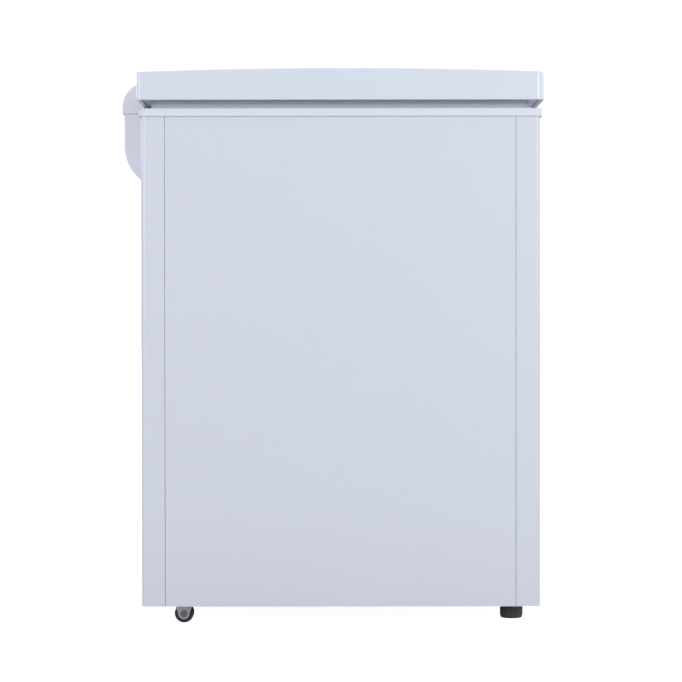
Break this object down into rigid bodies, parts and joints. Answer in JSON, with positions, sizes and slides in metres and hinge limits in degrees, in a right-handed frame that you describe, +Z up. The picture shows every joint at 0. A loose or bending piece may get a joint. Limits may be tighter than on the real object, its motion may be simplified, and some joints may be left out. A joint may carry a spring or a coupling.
{
  "type": "chest freezer",
  "caption": "White chest freezer with a sprung flat lid on rear hinges, rear rollers, front levelling feet, a stepped liner and a hanging basket.",
  "frame": {"origin": "on the floor under the centre of the freezer's bounding box", "axes": "+Z up, -Y towards the front where the lid's grip and the controls are, +X towards the machine compartment at the freezer's right as seen from the front"},
  "size_m": [0.95, 0.656, 0.85],
  "materials": {
    "cabinet_white": "gloss",
    "lid_white": "gloss",
    "collar_plastic": "satin",
    "cover_plastic": "satin",
    "galvanised_steel": "satin",
    "zinc_plated_steel": "satin",
    "stud_steel": "satin",
    "liner_aluminium": "satin",
    "rigid_foam": "matte",
    "copper_tube": "satin",
    "evaporator_aluminium": "satin",
    "black_enamel": "satin",
    "black_plastic": "matte",
    "black_rubber": "matte",
    "roller_black": "matte",
    "foot_charcoal": "matte",
    "gasket_grey": "matte",
    "inner_white": "satin",
    "bezel_plastic": "satin",
    "knob_plastic": "gloss",
    "switch_plastic": "matte",
    "lens_plastic": "gloss",
    "drain_plastic": "satin",
    "drain_rubber": "matte",
    "spring_steel": "satin",
    "plunger_nylon": "satin",
    "basket_wire": "satin",
    "grip_plastic": "satin"
  },
  "bodies": {
    "cabinet": {"front_panel": "cabinet_white", "rear_panel": "cabinet_white", "left_side_panel": "cabinet_white", "right_side_panel": "cabinet_white", "base_pan": "galvanised_steel", "machine_bulkhead": "galvanised_steel", "cabinet_foam": "rigid_foam", "inner_liner": "liner_aluminium", "top_trim_frame": "collar_plastic", "evaporator_tube": "evaporator_aluminium", "condenser_tube": "copper_tube", "compressor_shell": "black_enamel", "compressor_plate": "black_enamel", "compressor_grommets": "black_rubber", "compressor_bolts": "zinc_plated_steel", "relay_cover": "black_plastic", "compressor_rails": "galvanised_steel", "refrigerant_pipes": "copper_tube", "filter_drier": "copper_tube", "side_grille": "cover_plastic", "control_bezel": "bezel_plastic", "thermostat_body": "switch_plastic", "indicator_lenses": "lens_plastic", "wiring_harness": "black_plastic", "drain_pipe": "drain_plastic", "drain_outlet": "drain_plastic", "cord_gland": "black_rubber", "left_hinge_bracket": "zinc_plated_steel", "right_hinge_bracket": "zinc_plated_steel", "hinge_pins": "stud_steel", "left_hinge_spring": "spring_steel", "right_hinge_spring": "spring_steel", "left_lower_hinge_cover": "cover_plastic", "right_lower_hinge_cover": "cover_plastic", "bracket_screws": "zinc_plated_steel", "roller_brackets": "zinc_plated_steel", "roller_axles": "stud_steel", "foot_nut_plates": "galvanised_steel"},
    "lid": {"lid_shell": "lid_white", "lid_foam": "rigid_foam", "lid_inner_panel": "inner_white", "lid_gasket": "gasket_grey", "lid_handle": "collar_plastic", "left_hinge_arm": "zinc_plated_steel", "right_hinge_arm": "zinc_plated_steel", "left_upper_hinge_cover": "cover_plastic", "right_upper_hinge_cover": "cover_plastic", "arm_screws": "zinc_plated_steel"},
    "basket": {"wire_basket": "basket_wire", "basket_grips": "grip_plastic"},
    "left_plunger": {"left_plunger": "plunger_nylon"},
    "right_plunger": {"right_plunger": "plunger_nylon"},
    "left_wheel": {"left_wheel": "roller_black"},
    "right_wheel": {"right_wheel": "roller_black"},
    "left_foot": {"left_foot": "foot_charcoal"},
    "right_foot": {"right_foot": "foot_charcoal"},
    "thermostat_knob": {"thermostat_knob": "knob_plastic"},
    "drain_plug": {"drain_plug": "drain_rubber"},
    "drain_cap": {"drain_cap": "drain_plastic"}
  },
  "joints": [
    {"name": "lid_hinge", "type": "hinge", "parent": "cabinet", "child": "lid", "pos_m": [0, 0.317, 0.7835], "axis": [-1, 0, 0], "range_deg": [0, 85], "stiffness_Nm_per_rad": 10, "springref_deg": 100.27},
    {"name": "left_plunger_slide", "type": "slide", "parent": "cabinet", "child": "left_plunger", "axis": [0, 0, 1], "range_m": [0, 0.0092], "deforming": ["left_hinge_spring"]},
    {"name": "right_plunger_slide", "type": "slide", "parent": "cabinet", "child": "right_plunger", "axis": [0, 0, 1], "range_m": [0, 0.0092], "deforming": ["right_hinge_spring"]},
    {"name": "left_wheel_spin", "type": "hinge", "parent": "cabinet", "child": "left_wheel", "pos_m": [-0.436, 0.225, 0.0145], "axis": [1, 0, 0], "continuous": true},
    {"name": "right_wheel_spin", "type": "hinge", "parent": "cabinet", "child": "right_wheel", "pos_m": [0.436, 0.225, 0.0145], "axis": [1, 0, 0], "continuous": true},
    {"name": "left_foot_level", "type": "slide", "parent": "cabinet", "child": "left_foot", "axis": [0, 0, -1], "range_m": [0, 0.012]},
    {"name": "right_foot_level", "type": "slide", "parent": "cabinet", "child": "right_foot", "axis": [0, 0, -1], "range_m": [0, 0.012]},
    {"name": "thermostat_turn", "type": "hinge", "parent": "cabinet", "child": "thermostat_knob", "pos_m": [0.409, -0.322, 0.145], "axis": [0, -1, 0], "range_deg": [-150, 150]},
    {"name": "basket_slide", "type": "slide", "parent": "cabinet", "child": "basket", "axis": [-1, 0, 0], "range_m": [0, 0.59]},
    {"name": "drain_plug_pull", "type": "slide", "parent": "cabinet", "child": "drain_plug", "axis": [0, 0, 1], "range_m": [0, 0.03]},
    {"name": "drain_cap_pull", "type": "slide", "parent": "cabinet", "child": "drain_cap", "axis": [0, -1, 0], "range_m": [0, 0.02]}
  ],
  "couplings": [
    {"joint": "left_plunger_slide", "follows": "lid_hinge", "m_per_rad": 0.006},
    {"joint": "right_plunger_slide", "follows": "lid_hinge", "m_per_rad": 0.006}
  ]
}
